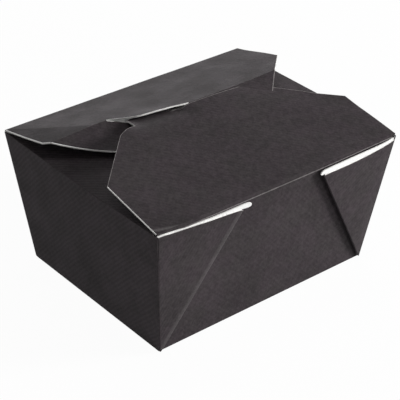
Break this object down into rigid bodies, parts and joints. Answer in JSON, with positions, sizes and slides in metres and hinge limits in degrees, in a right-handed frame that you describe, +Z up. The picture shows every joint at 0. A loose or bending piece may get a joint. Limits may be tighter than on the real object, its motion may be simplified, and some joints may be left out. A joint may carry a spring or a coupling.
{
  "type": "takeaway box",
  "caption": "Folded paperboard takeaway box with a flared tray, folded corner gussets, tucked-in top flaps and a hinged front flap.",
  "frame": {"origin": "centre of the floor, on the surface the box stands on", "axes": "+X right along the front wall, +Y from the front wall to the rear wall, +Z up"},
  "size_m": [0.1278, 0.1068, 0.0734],
  "materials": {
    "black_board": "satin black outside, plain white inside and at cut edges"
  },
  "bodies": {
    "carton": {"carton": "black_board"},
    "front_flap": {"front_flap": "black_board"}
  },
  "joints": [
    {"name": "front_flap_fold", "type": "hinge", "parent": "carton", "child": "front_flap", "pos_m": [0, -0.05027, 0.06225], "axis": [1, 0, 0], "range_deg": [0, 180]}
  ]
}
